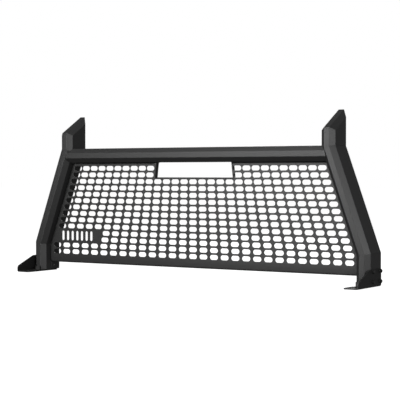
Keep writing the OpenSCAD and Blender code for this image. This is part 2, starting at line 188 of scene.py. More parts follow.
class RackFixingSizes(bpy.types.PropertyGroup):
    """Sizes of the brackets and fasteners."""

    plate: FloatProperty(name="Plate", description="Thickness of the bracket plate", default=0.005,
                         min=0.003, max=0.008, unit="LENGTH")
    bend: FloatProperty(name="Bend Radius", description="Inner radius of the bracket's bend",
                        default=0.003, min=0.001, max=0.01, unit="LENGTH")
    nose: FloatProperty(name="Nose Height", description="Height of the bracket's front edge",
                        default=0.027, min=0.015, max=0.04, unit="LENGTH")
    edge: FloatProperty(name="Edge Rounding", description="Rounding of the plate's edges",
                        default=0.0008, min=0.0002, max=0.002, unit="LENGTH")
    brow: FloatProperty(name="Brow", description="Where the sloping edge ends, behind the leg's front",
                        default=0.004, min=0.0, max=0.02, unit="LENGTH")
    nose_round: FloatProperty(name="Nose Rounding", description="Radius of the front upper corner",
                              default=0.014, min=0.002, max=0.02, unit="LENGTH")
    brow_round: FloatProperty(name="Brow Rounding", description="Radius at the sloping edge's end",
                              default=0.008, min=0.002, max=0.02, unit="LENGTH")
    rear_round: FloatProperty(name="Rear Rounding", description="Radius of the rear upper corner",
                              default=0.004, min=0.002, max=0.02, unit="LENGTH")
    flange_round: FloatProperty(name="Flange Rounding", description="Radius of the flange's corners",
                                default=0.010, min=0.002, max=0.02, unit="LENGTH")
    bolt: FloatProperty(name="Bolt", description="Diameter of the bracket bolts", default=0.008,
                        min=0.006, max=0.012, unit="LENGTH")
    bolt_flats: FloatProperty(name="Bolt Flats", description="Across the flats of the bolt heads",
                              default=0.013, min=0.01, max=0.018, unit="LENGTH")
    gap: FloatProperty(name="Hole Gap", description="Clearance of a bolt in its hole",
                       default=0.001, min=0.0002, max=0.002, unit="LENGTH")
    thread: FloatProperty(name="Thread Pitch", description="Pitch of the bolt threads",
                          default=0.00125, min=0.0007, max=0.002, unit="LENGTH")
    washer: FloatProperty(name="Washer", description="Outer diameter of the bracket washers",
                          default=0.017, min=0.014, max=0.02, unit="LENGTH")
    nut_thread: FloatProperty(name="Nut Thread Pitch", description="Pitch of the tall nuts' threads",
                              default=0.00175, min=0.001, max=0.0025, unit="LENGTH")


class RackScrewSizes(bpy.types.PropertyGroup):
    """Sizes and places of the panel screws and their rivet nuts."""

    screw: FloatProperty(name="Screw", description="Diameter of the panel screws",
                         default=0.006, min=0.005, max=0.008, unit="LENGTH")
    head: FloatProperty(name="Head", description="Diameter of the screw heads",
                        default=0.012, min=0.01, max=0.014, unit="LENGTH")
    head_height: FloatProperty(name="Head Height", description="Height of the screw heads",
                               default=0.0033, min=0.0025, max=0.005, unit="LENGTH")
    socket: FloatProperty(name="Socket", description="Across the flats of the socket in a head",
                          default=0.004, min=0.003, max=0.005, unit="LENGTH")
    gap: FloatProperty(name="Hole Gap", description="Clearance of a screw in the sheet",
                       default=0.001, min=0.0002, max=0.002, unit="LENGTH")
    end: FloatProperty(name="Screw End", description="How far a screw stands out of its nut",
                       default=0.002, min=0.0, max=0.004, unit="LENGTH")
    rivet: FloatProperty(name="Rivet Nut", description="Diameter of the rivet nuts",
                         default=0.009, min=0.008, max=0.011, unit="LENGTH")
    rivet_length: FloatProperty(name="Rivet Length", description="Length of the rivet nuts",
                                default=0.014, min=0.011, max=0.018, unit="LENGTH")
    bulge: FloatProperty(name="Bulge", description="Diameter of a rivet nut's bulge behind the wall",
                         default=0.012, min=0.011, max=0.014, unit="LENGTH")
    bulge_height: FloatProperty(name="Bulge Height", description="Height of the bulge",
                                default=0.004, min=0.003, max=0.006, unit="LENGTH")
    setback: FloatProperty(name="Setback", description="From the back of the face to the screws",
                           default=0.018, min=0.01, max=0.024, unit="LENGTH")
    rake_screws: IntProperty(name="Side Screws", description="Screws along each raked tube",
                             default=4, min=3, max=6)
    rake_low: FloatProperty(name="Lowest Side Screw", description="Above the lower knee",
                            default=0.040, min=0.02, max=0.08, unit="LENGTH")
    rake_high: FloatProperty(name="Highest Side Screw", description="Below the crossbar",
                             default=0.045, min=0.03, max=0.08, unit="LENGTH")
    tab_screw: FloatProperty(name="Tab Screw", description="Above the leg's lower end",
                             default=0.016, min=0.01, max=0.03, unit="LENGTH")
    leg_screw: FloatProperty(name="Leg Screw", description="Below the lower knee",
                             default=0.032, min=0.02, max=0.06, unit="LENGTH")
    top_screws: IntProperty(name="Top Screws", description="Screws beside the window, to each side",
                            default=3, min=2, max=4)
    top_inner: FloatProperty(name="Inner Top Screw", description="Out from the window's edge",
                             default=0.025, min=0.015, max=0.05, unit="LENGTH")
    top_outer: FloatProperty(name="Outer Top Screw", description="In from the raked tube",
                             default=0.050, min=0.03, max=0.08, unit="LENGTH")


class RackFinishes(bpy.types.PropertyGroup):
    """Colours and grain of the finishes."""

    tube_colour: FloatVectorProperty(name="Tube Coat", description="Colour of the tubes' powder coat",
                                     default=(0.022, 0.022, 0.023), subtype="COLOR", min=0, max=1)
    panel_colour: FloatVectorProperty(name="Panel Coat", description="Colour of the panel's powder coat",
                                      default=(0.02, 0.02, 0.021), subtype="COLOR", min=0, max=1)
    bracket_colour: FloatVectorProperty(name="Bracket Coat", description="Colour of the brackets' coat",
                                        default=(0.012, 0.012, 0.0125), subtype="COLOR", min=0, max=1)
    oxide_colour: FloatVectorProperty(name="Black Oxide", description="Colour of the bolts",
                                      default=(0.02, 0.0195, 0.02), subtype="COLOR", min=0, max=1)
    zinc_colour: FloatVectorProperty(name="Zinc", description="Colour of the zinc plated nuts",
                                     default=(0.56, 0.55, 0.52), subtype="COLOR", min=0, max=1)
    plastic_colour: FloatVectorProperty(name="Cap Plastic", description="Colour of the foot caps",
                                        default=(0.016, 0.016, 0.017), subtype="COLOR", min=0, max=1)
    grain: FloatProperty(name="Coat Grain", description="Size of the powder coat's grains",
                         default=0.0011, min=0.0003, max=0.003, unit="LENGTH")
    grain_depth: FloatProperty(name="Grain Depth", description="Depth of the powder coat's grains",
                               default=0.00018, min=0.0, max=0.0005, unit="LENGTH")


class RackStage(bpy.types.PropertyGroup):
    """Camera, floor and lights."""

    camera_place: FloatVectorProperty(name="Camera", description="Place of the camera",
                                      default=(2.9918, -4.5698, 0.4482), subtype="TRANSLATION")
    camera_turn: FloatProperty(name="Camera Turn", description="Turn of the camera from straight on",
                               default=math.radians(32.698), subtype="ANGLE")
    camera_tilt: FloatProperty(name="Camera Tilt", description="Upward tilt of the camera",
                               default=math.radians(-1.172), subtype="ANGLE")
    lens: FloatProperty(name="Lens", description="Focal length in millimetres", default=114.44,
                        min=20, max=300)
    floor_colour: FloatVectorProperty(name="Floor", description="Colour of the floor",
                                      default=(0.93, 0.93, 0.93), subtype="COLOR", min=0, max=1)
    floor_glow: FloatProperty(name="Floor Glow", description="How far the floor is washed out to white",
                              default=1.06, min=0, max=2)
    sky: FloatProperty(name="Sky", description="Strength of the even light all round", default=0.13,
                       min=0, max=5)
    backdrop: FloatProperty(name="Backdrop", description="Brightness of the white behind the rack",
                            default=1.0, min=0, max=5)
    key: FloatProperty(name="Key Light", description="Power of the large front light in watts",
                       default=77, min=0)
    right: FloatProperty(name="Right Light", description="Power of the light at the right in watts",
                         default=62, min=0)
    top: FloatProperty(name="Top Light", description="Power of the light overhead in watts",
                       default=50, min=0)
    back: FloatProperty(name="Back Light", description="Power of the light behind in watts",
                        default=60, min=0)


GROUPS = {
    "rack_tube": RackTubeSizes,
    "rack_panel": RackPanelSizes,
    "rack_fixing": RackFixingSizes,
    "rack_screw": RackScrewSizes,
    "rack_finish": RackFinishes,
    "rack_stage": RackStage,
}


def tube():
    """The tube sizes."""
    return bpy.context.scene.rack_tube


def panel():
    """The panel sizes."""
    return bpy.context.scene.rack_panel


def fixing():
    """The bracket and fastener sizes."""
    return bpy.context.scene.rack_fixing


def screwing():
    """The panel screws' sizes and places."""
    return bpy.context.scene.rack_screw


def finish():
    """The finishes."""
    return bpy.context.scene.rack_finish


# ---- Bench work: selecting, drawing, cutting ----


def put_down():
    """Leaves edit mode and deselects everything."""
    if bpy.context.object and bpy.context.object.mode != "OBJECT":
        bpy.ops.object.mode_set(mode="OBJECT")
    bpy.ops.object.select_all(action="DESELECT")


def take(*objs):
    """Selects these objects alone and makes the first one active."""
    put_down()
    for obj in objs:
        obj.select_set(True)
    bpy.context.view_layer.objects.active = objs[0]
    return objs[0]


def settle(name=None):
    """Moves the active object's place, turn and size into its mesh."""
    obj = bpy.context.object
    bpy.ops.object.transform_apply(location=True, rotation=True, scale=True)
    if name:
        obj.name = obj.data.name = name
    return obj


def pick(obj, kind, test):
    """Selects the vertices, edges or faces that pass a test, which gets their middle and their normal
    or, for an edge, its direction; stays in edit mode."""
    take(obj)
    bpy.ops.object.mode_set(mode="EDIT")
    bpy.ops.mesh.select_mode(type=kind)
    bpy.ops.mesh.select_all(action="DESELECT")
    bpy.ops.object.mode_set(mode="OBJECT")
    mesh = obj.data
    if kind == "VERT":
        parts = [(vertex, vertex.co, vertex.normal) for vertex in mesh.vertices]
    elif kind == "EDGE":
        ends = [(edge, *(mesh.vertices[i].co for i in edge.vertices)) for edge in mesh.edges]
        parts = [(edge, (a + b) / 2, (b - a).normalized()) for edge, a, b in ends]
    else:
        parts = [(face, face.center, face.normal) for face in mesh.polygons]
    for part, middle, way in parts:
        part.select = bool(test(middle, way))
    found = sum(part.select for part, *_ in parts)
    bpy.ops.object.mode_set(mode="EDIT")
    return found


def pick_rims(obj):
    """Selects a mesh's open edges and stays in edit mode."""
    take(obj)
    bpy.ops.object.mode_set(mode="EDIT")
    bpy.ops.mesh.select_mode(type="EDGE")
    bpy.ops.mesh.select_all(action="DESELECT")
    bpy.ops.mesh.select_non_manifold(use_wire=False, use_multi_face=False, use_non_contiguous=False,
                                     use_verts=False)


def everything(obj):
    """Selects all of a mesh and stays in edit mode."""
    take(obj)
    bpy.ops.object.mode_set(mode="EDIT")
    bpy.ops.mesh.select_mode(type="VERT")
    bpy.ops.mesh.select_all(action="SELECT")
    return obj


def pull(*value):
    """Extrudes the selection."""
    bpy.ops.mesh.extrude_region_move(TRANSFORM_OT_translate={"value": value})


def draw(name, points, fill=True):
    """Draws a closed outline by pulling one vertex from point to point, and fills it."""
    put_down()
    bpy.ops.mesh.primitive_plane_add(size=MM, location=points[0])
    obj = settle(name)
    everything(obj)
    bpy.ops.mesh.merge(type="CENTER")
    loop = [Vector(p) for p in points]
    for here, there in zip(loop, loop[1:] + loop[:1]):
        pull(*(there - here))
    bpy.ops.mesh.select_all(action="SELECT")
    bpy.ops.mesh.remove_doubles(threshold=HAIR)
    if fill:
        bpy.ops.mesh.select_all(action="SELECT")
        bpy.ops.mesh.edge_face_add()
    put_down()
    return obj


def round_corners(obj, radius, segments=4, test=lambda p, n: True):
    """Rounds the corners of a flat outline; each corner's cut follows from the angle it turns."""
    turns = {}
    mesh = obj.data
    spokes = {v.index: [] for v in mesh.vertices}
    for edge in mesh.edges:
        a, b = edge.vertices
        spokes[a].append((mesh.vertices[b].co - mesh.vertices[a].co).normalized())
        spokes[b].append((mesh.vertices[a].co - mesh.vertices[b].co).normalized())
    for vertex in mesh.vertices:
        if len(spokes[vertex.index]) == 2 and test(vertex.co, vertex.normal):
            turn = math.pi - spokes[vertex.index][0].angle(spokes[vertex.index][1])
            turns.setdefault(round(turn, 3), []).append(vertex.co.copy())
    for turn, places in turns.items():
        pick(obj, "VERT", lambda p, n, places=places: any((p - q).length < HAIR for q in places))
        bpy.ops.mesh.bevel(offset=radius * math.tan(turn / 2), offset_type="OFFSET", segments=segments,
                           profile=0.5, affect="VERTICES", clamp_overlap=True)
    put_down()
    return obj


def round_edge(obj, place, run, radius, turn, segments=6):
    """Rounds the edge that runs through a place; the faces beside it turn by an angle."""
    pick(obj, "EDGE", lambda p, n: abs(n.dot(run)) > 0.99
         and (p - place - run * (p - place).dot(run)).length < HAIR)
    bpy.ops.mesh.bevel(offset=radius * math.tan(turn / 2), offset_type="OFFSET", segments=segments,
                       profile=0.5, affect="EDGES", clamp_overlap=True)
    put_down()


def cut(obj, place, normal, close=False):
    """Cuts off what lies beyond a plane."""
    everything(obj)
    bpy.ops.mesh.bisect(plane_co=place, plane_no=normal, use_fill=close, clear_outer=True)
    put_down()
    return obj


def close_rims(obj, place, normal):
    """Joins the outer and inner rims that lie on a plane."""
    across = Vector(normal).normalized()
    pick(obj, "EDGE", lambda p, n: abs((p - place).dot(across)) < HAIR and abs(n.dot(across)) < 0.01)
    bpy.ops.mesh.bridge_edge_loops()
    put_down()


def recalculate(obj):
    """Turns every face outwards."""
    everything(obj)
    bpy.ops.mesh.normals_make_consistent(inside=False)
    put_down()


def thicken(obj, *run):
    """Pulls a flat outline out into a closed body."""
    everything(obj)
    pull(*run)
    put_down()
    recalculate(obj)
    return obj


def apply_modifier(obj, kind, **settings):
    """Adds a modifier with its settings and applies it."""
    take(obj)
    modifier = obj.modifiers.new(kind.title(), kind)
    for key, value in settings.items():
        setattr(modifier, key, value)
    bpy.ops.object.modifier_apply(modifier=modifier.name)
    return obj


def carve(obj, cutter, operation="DIFFERENCE"):
    """Cuts a closed shape out of another and throws the cutter away."""
    apply_modifier(obj, "BOOLEAN", object=cutter, operation=operation, solver="EXACT")
    mesh = cutter.data
    bpy.data.objects.remove(cutter)
    bpy.data.meshes.remove(mesh)
    return obj


def join(name, objs):
    """Joins objects into one."""
    take(*objs)
    if len(objs) > 1:
        bpy.ops.object.join()
    obj = bpy.context.object
    obj.name = obj.data.name = name
    return obj


def copy_at(obj, place, axis):
    """A copy of a body made along Z, stood on a place along an axis."""
    take(obj)
    bpy.ops.object.duplicate()
    return stand(bpy.context.object, place, axis)


def mirror_of(obj, name):
    """The mirror image on the other side of the truck."""
    take(obj)
    bpy.ops.object.duplicate()
    twin = bpy.context.object
    twin.scale.x = -1
    settle(name)
    everything(twin)
    bpy.ops.mesh.flip_normals()
    put_down()
    return twin


def rod(name, place, axis, radius, length, sides=32):
    """A closed round bar that starts at a place and runs along an axis."""
    put_down()
    along = Vector(axis).normalized()
    bpy.ops.mesh.primitive_cylinder_add(vertices=sides, radius=radius, depth=length,
                                        location=Vector(place) + along * length / 2,
                                        rotation=along.to_track_quat("Z", "X").to_euler())
    return settle(name)


def ease_edges(obj, width, segments=2, angle=38):
    """Rounds every edge sharper than an angle and shades the rest evenly."""
    take(obj)
    bpy.ops.object.shade_smooth()
    apply_modifier(obj, "BEVEL", width=width, segments=segments, limit_method="ANGLE",
                   angle_limit=math.radians(angle), use_clamp_overlap=True, loop_slide=False)
    return even_shade(obj, 48)


def even_shade(obj, angle):
    """Smooth shading that keeps flats flat."""
    take(obj)
    bpy.ops.object.shade_smooth_by_angle(angle=math.radians(angle))
    return apply_modifier(obj, "WEIGHTED_NORMAL", keep_sharp=True, weight=50)


def hand_over(obj, finish_name, *nodes):
    """Gives a finished piece its material and its body, and hides the nodes that it stands for."""
    obj.data.materials.clear()
    obj.data.materials.append(FINISHES[finish_name]())
    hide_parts(*nodes)
    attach(obj, "root")
    return obj


def both_sides(right, name, finish_name, node, angle=48):
    """Hands over a right-hand piece and its mirror image, which is shaded afresh."""
    left = mirror_of(right, "left_" + name)
    bpy.ops.mesh.customdata_custom_splitnormals_clear()
    even_shade(left, angle)
    right.name = right.data.name = "right_" + name
    hand_over(right, finish_name, "right_" + node)
    hand_over(left, finish_name, "left_" + node)


# ---- Finishes ----


def node_sheet(name):
    """A new material with its shader and its node maker."""
    material = bpy.data.materials.new(name)
    material.use_nodes = True
    tree = material.node_tree
    shader = tree.nodes["Principled BSDF"]

    def add(kind, inputs=None, **settings):
        node = tree.nodes.new(kind)
        for key, value in settings.items():
            setattr(node, key, value)
        for key, value in (inputs or {}).items():
            if isinstance(value, bpy.types.NodeSocket):
                tree.links.new(value, node.inputs[key])
            else:
                node.inputs[key].default_value = value
        return node

    place = add("ShaderNodeTexCoord").outputs["Object"]
    return material, tree, shader, add, place


def shade_of(colour, share):
    """A colour made lighter or darker, with full alpha."""
    return (*[min(1.0, channel * share) for channel in colour], 1.0)


def ramp(add, source, colour, spread, start=0.0, end=1.0):
    """A colour ramp from a darker to a lighter shade of a colour."""
    node = add("ShaderNodeValToRGB", {"Fac": source})
    for element, position, share in zip(node.color_ramp.elements, (start, end), spread):
        element.position = position
        element.color = shade_of(colour, share)
    return node.outputs["Color"]


def coat(name, colour, roughness, grain, depth, spread=0.1, specular=0.5):
    """Powder coat: fused grains over a slow wave, with a little drift in tone and gloss."""
    if name in bpy.data.materials:
        return bpy.data.materials[name]
    material, tree, shader, add, place = node_sheet(name)
    grains = add("ShaderNodeTexNoise", {"Vector": place, "Scale": 1 / grain, "Detail": 2.0, "Roughness": 0.6})
    pits = add("ShaderNodeTexVoronoi", {"Vector": place, "Scale": 0.6 / grain}, feature="SMOOTH_F1")
    wave = add("ShaderNodeTexNoise", {"Vector": place, "Scale": 0.11 / grain, "Detail": 1.0})
    drift = add("ShaderNodeTexNoise", {"Vector": place, "Scale": 7.0, "Detail": 3.0, "Roughness": 0.55})
    height = add("ShaderNodeMix", {"Factor": 0.35, "A": grains.outputs["Fac"], "B": pits.outputs["Distance"]},
                 data_type="FLOAT")
    height = add("ShaderNodeMix", {"Factor": 0.3, "A": height.outputs["Result"], "B": wave.outputs["Fac"]},
                 data_type="FLOAT")
    bump = add("ShaderNodeBump", {"Height": height.outputs["Result"], "Strength": 1.0, "Distance": depth})
    tone = ramp(add, grains.outputs["Fac"], colour, (1 - spread * 2, 1 + spread * 2), 0.3, 0.7)
    wash = ramp(add, drift.outputs["Fac"], colour, (1 - spread, 1 + spread), 0.25, 0.75)
    blend = add("ShaderNodeMix", {"Factor": 0.5, "A": tone, "B": wash}, data_type="RGBA")
    gloss = add("ShaderNodeMapRange", {"Value": drift.outputs["Fac"], "From Min": 0.3, "From Max": 0.7,
                                       "To Min": roughness - 0.05, "To Max": roughness + 0.06})
    tree.links.new(blend.outputs["Result"], shader.inputs["Base Color"])
    tree.links.new(gloss.outputs["Result"], shader.inputs["Roughness"])
    tree.links.new(bump.outputs["Normal"], shader.inputs["Normal"])
    shader.inputs["Specular IOR Level"].default_value = specular
    return material


def bare_metal(name, colour, roughness, metallic, streak=60.0, depth=0.00003):
    """Plated or oxidised steel: fine drawn streaks under a cloudy skin."""
    if name in bpy.data.materials:
        return bpy.data.materials[name]
    material, tree, shader, add, place = node_sheet(name)
    stretch = add("ShaderNodeMapping", {"Vector": place, "Scale": (streak, streak, streak * 14)})
    lines = add("ShaderNodeTexNoise", {"Vector": stretch.outputs["Vector"], "Scale": 6.0, "Detail": 3.0})
    cloud = add("ShaderNodeTexNoise", {"Vector": place, "Scale": 260.0, "Detail": 4.0, "Roughness": 0.6})
    flake = add("ShaderNodeTexVoronoi", {"Vector": place, "Scale": 700.0})
    tone = ramp(add, cloud.outputs["Fac"], colour, (0.72, 1.22), 0.3, 0.72)
    height = add("ShaderNodeMix", {"Factor": 0.4, "A": lines.outputs["Fac"], "B": flake.outputs["Distance"]},
                 data_type="FLOAT")
    bump = add("ShaderNodeBump", {"Height": height.outputs["Result"], "Strength": 1.0, "Distance": depth})
    gloss = add("ShaderNodeMapRange", {"Value": cloud.outputs["Fac"], "From Min": 0.3, "From Max": 0.7,
                                       "To Min": roughness - 0.08, "To Max": roughness + 0.1})
    tree.links.new(tone, shader.inputs["Base Color"])
    tree.links.new(gloss.outputs["Result"], shader.inputs["Roughness"])
    tree.links.new(bump.outputs["Normal"], shader.inputs["Normal"])
    shader.inputs["Metallic"].default_value = metallic
    return material


def tube_coat():
    """Textured black powder coat of the tubes."""
    return coat("tube_coat", finish().tube_colour, 0.52, finish().grain, finish().grain_depth)


def panel_coat():
    """The same coat on the sheet, a little darker."""
    return coat("panel_coat", finish().panel_colour, 0.56, finish().grain, finish().grain_depth)


def bracket_coat():
    """Satin black coat of the brackets."""
    return coat("bracket_coat", finish().bracket_colour, 0.55, finish().grain * 0.8,
                finish().grain_depth * 0.7, specular=0.2)


def bolt_steel():
    """Black oxide of the bolts, washers and rail nuts."""
    return bare_metal("bolt_steel", finish().oxide_colour, 0.4, 0.6)


def screw_steel():
    """Black zinc of the panel screws."""
    return bare_metal("screw_steel", finish().oxide_colour, 0.3, 0.8, streak=90.0)


def zinc_steel():
    """Bright zinc of the hidden nuts."""
    return bare_metal("zinc_steel", finish().zinc_colour, 0.36, 1.0)


def cap_plastic():
    """Moulded polyethylene of the foot caps."""
    return coat("cap_plastic", finish().plastic_colour, 0.62, 0.0007, 0.00006, spread=0.06, specular=0.4)


FINISHES = {
    "tube_coat": tube_coat,
    "panel_coat": panel_coat,
    "bracket_coat": bracket_coat,
    "bolt_steel": bolt_steel,
    "screw_steel": screw_steel,
    "zinc_steel": zinc_steel,
    "cap_plastic": cap_plastic,
}


# ---- Tubes ----

UP = Vector((0, 0, 1))
UP_RAKE = Vector((-math.sin(RAKE), 0, math.cos(RAKE)))
ACROSS = Vector((1, 0, 0))
ACROSS_RAKE = Vector((math.cos(RAKE), 0, math.sin(RAKE)))
KNEE = Vector((FOOT_X, FRONT, KNEE_Z))
SHOULDER = Vector((HORN_X, FRONT, SHOULDER_Z))
MITRE_LOW = (UP + UP_RAKE).normalized()
REACH = TIP_HIGH.z
ORIGIN = Vector((0, 0, 0))


def octagon(outer_edge, across):
    """The eight corners of a tube's section, from a point on its outer edge at the front."""
    c, d = tube().chamfer, BACK - FRONT
    pairs = [(c - TUBE_W, 0), (-c, 0), (0, c), (0, d - c), (-c, d), (c - TUBE_W, d), (-TUBE_W, d - c),
             (-TUBE_W, c)]
    return [outer_edge + across * a + Vector((0, b, 0)) for a, b in pairs]


def bar(name, outer_edge, across, along, before, after, hollow=True):
    """A length of octagonal tube, or a solid bar of the same outline."""
    obj = draw(name, octagon(outer_edge - along * before, across))
    round_corners(obj, tube().corner, 3)
    if hollow:
        everything(obj)
        bpy.ops.mesh.inset(thickness=tube().wall, use_even_offset=True)
        bpy.ops.mesh.delete(type="FACE")
    return thicken(obj, *(along * (before + after)))


def trim(obj, place, normal, hollow):
    """Cuts a tube on a plane and closes its end: a ring on a hollow tube, a face on a solid bar."""
    cut(obj, place, normal, close=not hollow)
    if hollow:
        close_rims(obj, place, normal)


def leg_bar():
    """The upright length at the foot, mitred at the lower knee."""
    obj = bar("leg", KNEE, ACROSS, UP, KNEE_Z - LEG_LOW.z, TUBE_W)
    trim(obj, KNEE, MITRE_LOW, hollow=True)
    return obj


def rake_bar(hollow=True):
    """The raked length, mitred at both knees."""
    obj = bar("rake", KNEE, ACROSS_RAKE, UP_RAKE, TUBE_W, REACH, hollow)
    trim(obj, KNEE, -MITRE_LOW, hollow)
    trim(obj, SHOULDER, MITRE_LOW, hollow)
    return obj


def roof_planes(sink):
    """The ridge and the two shoulders of a horn's roof, as a place and a normal each."""
    slope = tube().tip_slope
    rise = Vector((0, math.cos(slope), math.sin(slope)))
    top = Vector((HORN_X - TUBE_W / 2, BACK, TIP_HIGH.z - sink))
    tilt = rise.cross(-ACROSS)
    normals = [rise.cross(run) for run in (-ACROSS, tilt - ACROSS, -ACROSS - tilt)]
    sides = [0, TUBE_W / 2 - tube().chamfer, tube().chamfer - TUBE_W / 2]
    return [(top + ACROSS * side, normal.normalized()) for side, normal in zip(sides, normals)]


def horn_bar(hollow=True, sink=0.0):
    """The upright length at the top, under its roof."""
    obj = bar("horn", SHOULDER, ACROSS, UP, TUBE_W, REACH - SHOULDER_Z + MM, hollow)
    trim(obj, SHOULDER, -MITRE_LOW, hollow)
    for place, normal in roof_planes(sink):
        cut(obj, place, normal, close=not hollow)
    return obj


def tip_sink():
    """How far below the roof a tip cover reaches, straight down."""
    return tube().tip_plate / math.cos(tube().tip_slope)


def leg_screws():
    """The right leg's panel screws: each one's place on the inner wall, and its way into the wall."""
    y = SHEET_LOW.y + panel().sheet + screwing().setback
    heights = (LEG_LOW.z + screwing().tab_screw, IN_KNEE_Z - screwing().leg_screw)
    return [(Vector((LEG_IN_X, y, z)), ACROSS) for z in heights]


def rake_screws():
    """The right raked tube's panel screws."""
    y = SHEET_LOW.y + panel().sheet + screwing().setback
    low, high = IN_KNEE_Z + screwing().rake_low, UNDER_BAR - screwing().rake_high
    last = screwing().rake_screws - 1
    heights = [low + i * (high - low) / last for i in range(last + 1)]
    return [(Vector((rake_in_x(z), y, z)), ACROSS_RAKE) for z in heights]


def top_screws():
    """The crossbar's panel screws, beside the window on both sides."""
    y = SHEET_LOW.y + panel().sheet + screwing().setback
    low = (panel().window_half + 1) * column_pitch(panel().rows - 1) + screwing().top_inner
    high = rake_in_x(UNDER_BAR) - screwing().top_outer
    last = screwing().top_screws - 1
    return [(Vector((side * (low + i * (high - low) / last), y, UNDER_BAR)), UP)
            for side in (1, -1) for i in range(last + 1)]


def drill(obj, spots, diameter, depth, sides=24):
    """Drills a hole at each spot, which is a place and a direction, to a depth on both sides."""
    rods = [rod("drill", place - axis * depth, axis, diameter / 2, depth * 2, sides)
            for place, axis in spots]
    return carve(obj, join("drills", rods))


class RACK_OT_uprights(bpy.types.Operator):
    """Makes the legs, the raked tubes and the horns, left and right"""

    bl_idname = "rack.uprights"
    bl_label = "Uprights"

    def execute(self, context):
        leg = drill(leg_bar(), bolt_spots(), fixing().bolt + fixing().gap, BOLT_DEPTH, 32)
        drill(leg, leg_screws(), screwing().rivet, tube().wall * 2)
        both_sides(ease_edges(leg, tube().seam), "leg", "tube_coat", "leg_tube")
        rake = drill(rake_bar(), rake_screws(), screwing().rivet, tube().wall * 2)
        both_sides(ease_edges(rake, tube().seam), "raked_upright", "tube_coat", "raked_tube")
        horn = horn_bar(sink=tip_sink())
        pick_rims(horn)
        bpy.ops.mesh.bridge_edge_loops()
        put_down()
        recalculate(horn)
        both_sides(ease_edges(horn, tube().seam), "horn", "tube_coat", "horn_tube")
        return {"FINISHED"}


class RACK_OT_tip_covers(bpy.types.Operator):
    """Makes the sloping covers that close the horns"""

    bl_idname = "rack.tip_covers"
    bl_label = "Tip Covers"

    def execute(self, context):
        obj = horn_bar(hollow=False)
        pick(obj, "FACE", lambda p, n: n.z < 0.3)
        bpy.ops.mesh.delete(type="FACE")
        thicken(obj, 0, 0, -tip_sink())
        both_sides(ease_edges(obj, tube().tip_round, 3), "tip", "tube_coat", "tip_cover")
        return {"FINISHED"}


class RACK_OT_crossbar(bpy.types.Operator):
    """Makes the crossbar, coped round the uprights"""

    bl_idname = "rack.crossbar"
    bl_label = "Crossbar"

    def execute(self, context):
        obj = bar("crossbar", Vector((0, FRONT, BAR_HIGH.z)), UP, ACROSS, 0, HORN_X)
        right_half = [spot for spot in top_screws() if spot[0].x > 0]
        drill(obj, right_half, screwing().rivet, tube().wall * 2)
        cope_land = 0.3 * MM
        top_x = HORN_X - TUBE_W + tube().chamfer - cope_land
        knee_z = SHOULDER_Z - KNEE_DROP * (1 - (top_x - HORN_X + TUBE_W) / TUBE_W)
        low, high = BAR_LOW.z - MM, BAR_HIGH.z + MM
        low_x, far_x = BAR_HIGH.x + MM * math.tan(RAKE), HORN_X + TUBE_W
        outline = [(top_x, high), (top_x, knee_z), (low_x, low), (far_x, low), (far_x, high)]
        waste = draw("waste", [(x, FRONT - MM, z) for x, z in outline])
        thicken(waste, 0, BACK - FRONT + 2 * MM, 0)
        for cutter in (waste, rake_bar(hollow=False), horn_bar(hollow=False)):
            recalculate(cutter)
            carve(obj, cutter)
        pick(obj, "FACE", lambda p, n: p.x < HAIR and n.x < -0.99)
        bpy.ops.mesh.delete(type="FACE")
        put_down()
        apply_modifier(obj, "MIRROR", use_mirror_merge=True, merge_threshold=HAIR)
        obj.name = obj.data.name = "crossbar"
        hand_over(ease_edges(obj, tube().seam), "tube_coat", "crossbar_tube")
        return {"FINISHED"}


# ---- Panel ----


def row_z(row):
    """Height of a row of slots."""
    return panel().first_row + row * panel().row_pitch


def column_pitch(row):
    """Distance between the slots of a row, which follows the panel's width."""
    width = inner_x(row_z(row))
    return (width * (1 - panel().border / LEG_IN_X) - panel().slot_length / 2) / panel().side_slots


def window_x(z):
    """Half the window's width at a height."""
    last = panel().rows - 1
    fan = column_pitch(last - 1) - column_pitch(last)
    pitch = column_pitch(last) + (row_z(last) - z) / panel().row_pitch * fan
    return (panel().window_half + 0.5) * pitch - panel().window_land


def window_sill():
    """Height of the window's lower edge."""
    row = panel().rows - panel().window_rows
    return row_z(row - 1) + panel().row_pitch / 2 + panel().sheet


def slot_loop(name, x, z, length, height, segments=5):
    """The edge of one slot with round ends."""
    put_down()
    bpy.ops.mesh.primitive_plane_add(size=1, location=(x, SHEET_LOW.y, z), rotation=(math.pi / 2, 0, 0))
    obj = bpy.context.object
    obj.scale = (length, height, 1)
    settle(name)
    everything(obj)
    bpy.ops.mesh.bevel(offset=min(length, height) / 2, offset_type="OFFSET", segments=segments,
                       profile=0.5, affect="VERTICES", clamp_overlap=True)
    bpy.ops.mesh.select_all(action="SELECT")
    bpy.ops.mesh.remove_doubles(threshold=HAIR)
    bpy.ops.mesh.delete(type="ONLY_FACE")
    put_down()
    return obj


def slot_rows():
    """Every row of slots, without those in the window and in the field of vent bars."""
    rows = []
    for row in range(panel().rows):
        pitch = column_pitch(row)
        obj = slot_loop("row", -panel().side_slots * pitch, row_z(row), panel().slot_length,
                        panel().slot_height)
        apply_modifier(obj, "ARRAY", count=2 * panel().side_slots + 1, use_relative_offset=False,
                       use_constant_offset=True, constant_offset_displace=(pitch, 0, 0))
        if row >= panel().rows - panel().window_rows:
            pick(obj, "VERT", lambda p, n, pitch=pitch: abs(p.x) < (panel().window_half + 0.5) * pitch)
            bpy.ops.mesh.delete(type="VERT")
        if panel().bar_row <= row < panel().bar_row + 2:
            edge = (panel().bar_slots - 0.5 - panel().side_slots) * pitch
            pick(obj, "VERT", lambda p, n, edge=edge: p.x < edge)
            bpy.ops.mesh.delete(type="VERT")
        rows.append(obj)
    return rows


